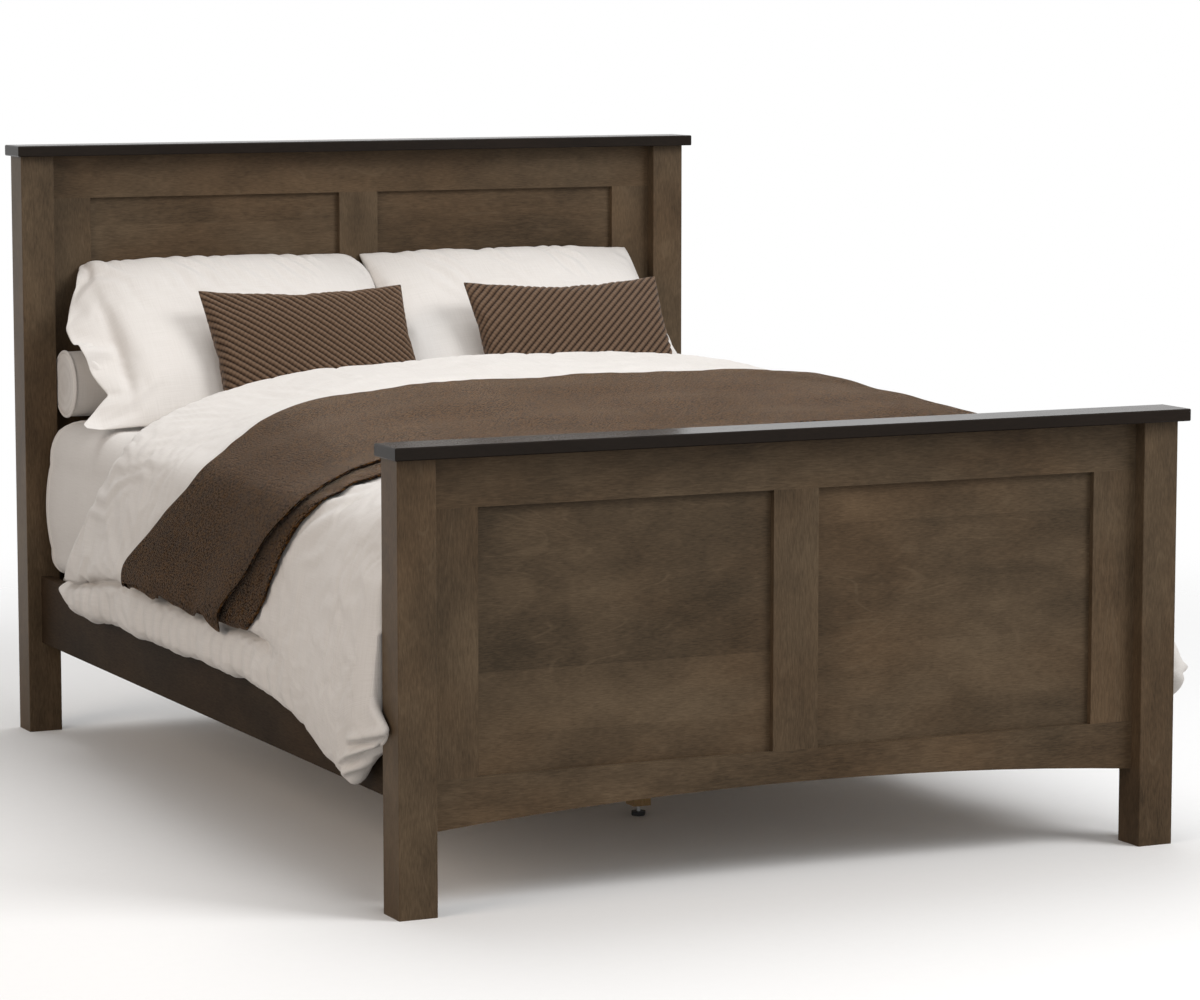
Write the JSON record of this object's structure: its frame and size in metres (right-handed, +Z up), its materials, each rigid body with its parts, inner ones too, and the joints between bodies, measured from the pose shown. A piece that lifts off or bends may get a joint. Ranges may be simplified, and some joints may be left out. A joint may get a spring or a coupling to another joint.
{
  "type": "mission bed",
  "caption": "Queen-size mission bed with frame-and-panel head and foot, flat caps and an arched foot rail, made up with duvet, folded throw, pillows and cushions.",
  "frame": {"origin": "on the floor, at the middle of the bed's outline", "axes": "+Z up, +Y from the foot to the head, +X to the right seen from the foot"},
  "size_m": [1.7006, 2.2796, 1.329],
  "materials": {
    "stained_wood": "dark brown stain under satin lacquer",
    "cap_wood": "darker brown stain under satin lacquer",
    "plain_wood": "bare planed softwood",
    "zinc_steel": "zinc plated",
    "brass": "plain turned",
    "nylon": "matte moulded",
    "white_linen": "soft white weave",
    "brown_tweed": "coarse flecked weave",
    "brown_cord": "ribbed cord",
    "ticking": "plain cotton cover"
  },
  "bodies": {
    "frame": {"bolster": "white_linen", "cleat_screws": "zinc_steel", "duvet": "white_linen", "foot_arched_rail": "stained_wood", "foot_cap": "cap_wood", "foot_cap_dowels": "plain_wood", "foot_left_panel": "stained_wood", "foot_left_stile": "stained_wood", "foot_mid_stile": "stained_wood", "foot_post_left": "stained_wood", "foot_post_right": "stained_wood", "foot_right_panel": "stained_wood", "foot_right_stile": "stained_wood", "foot_top_rail": "stained_wood", "foundation": "ticking", "head_bottom_rail": "stained_wood", "head_cap": "cap_wood", "head_cap_dowels": "plain_wood", "head_left_panel": "stained_wood", "head_left_stile": "stained_wood", "head_mid_stile": "stained_wood", "head_post_left": "stained_wood", "head_post_right": "stained_wood", "head_right_panel": "stained_wood", "head_right_stile": "stained_wood", "head_top_rail": "stained_wood", "hook_plate_screws": "zinc_steel", "keeper_plate_screws": "zinc_steel", "left_cleat": "plain_wood", "left_side_rail": "stained_wood", "leg_inserts": "brass", "leg_screws": "zinc_steel", "mattress": "white_linen", "post_keeper_plates": "zinc_steel", "rail_hook_plates": "zinc_steel", "right_cleat": "plain_wood", "right_side_rail": "stained_wood", "slat_1": "plain_wood", "slat_2": "plain_wood", "slat_3": "plain_wood", "slat_4": "plain_wood", "slat_5": "plain_wood", "slat_screws": "zinc_steel", "support_leg_1": "plain_wood", "support_leg_2": "plain_wood", "support_leg_3": "plain_wood", "throw_blanket": "brown_tweed"},
    "leveller_1": {"leveller_pad_1": "nylon", "leveller_stud_1": "zinc_steel"},
    "leveller_2": {"leveller_pad_2": "nylon", "leveller_stud_2": "zinc_steel"},
    "leveller_3": {"leveller_pad_3": "nylon", "leveller_stud_3": "zinc_steel"},
    "lumbar_cushion_left": {"lumbar_cushion_left": "brown_cord"},
    "lumbar_cushion_right": {"lumbar_cushion_right": "brown_cord"},
    "pillow_left": {"pillow_left": "white_linen"},
    "pillow_right": {"pillow_right": "white_linen"}
  },
  "joints": [
    {"name": "leveller_1_screw", "type": "slide", "parent": "frame", "child": "leveller_1", "axis": [0, 0, 1], "range_m": [0, 0.012]},
    {"name": "leveller_2_screw", "type": "slide", "parent": "frame", "child": "leveller_2", "axis": [0, 0, 1], "range_m": [0, 0.012]},
    {"name": "leveller_3_screw", "type": "slide", "parent": "frame", "child": "leveller_3", "axis": [0, 0, 1], "range_m": [0, 0.012]},
    {"name": "pillow_left_lift", "type": "slide", "parent": "frame", "child": "pillow_left", "axis": [0, 0, 1], "range_m": [0, 0.2]},
    {"name": "lumbar_left_lift", "type": "slide", "parent": "pillow_left", "child": "lumbar_cushion_left", "axis": [0, 0, 1], "range_m": [0, 0.25]},
    {"name": "pillow_right_lift", "type": "slide", "parent": "frame", "child": "pillow_right", "axis": [0, 0, 1], "range_m": [0, 0.2]},
    {"name": "lumbar_right_lift", "type": "slide", "parent": "pillow_right", "child": "lumbar_cushion_right", "axis": [0, 0, 1], "range_m": [0, 0.25]}
  ]
}
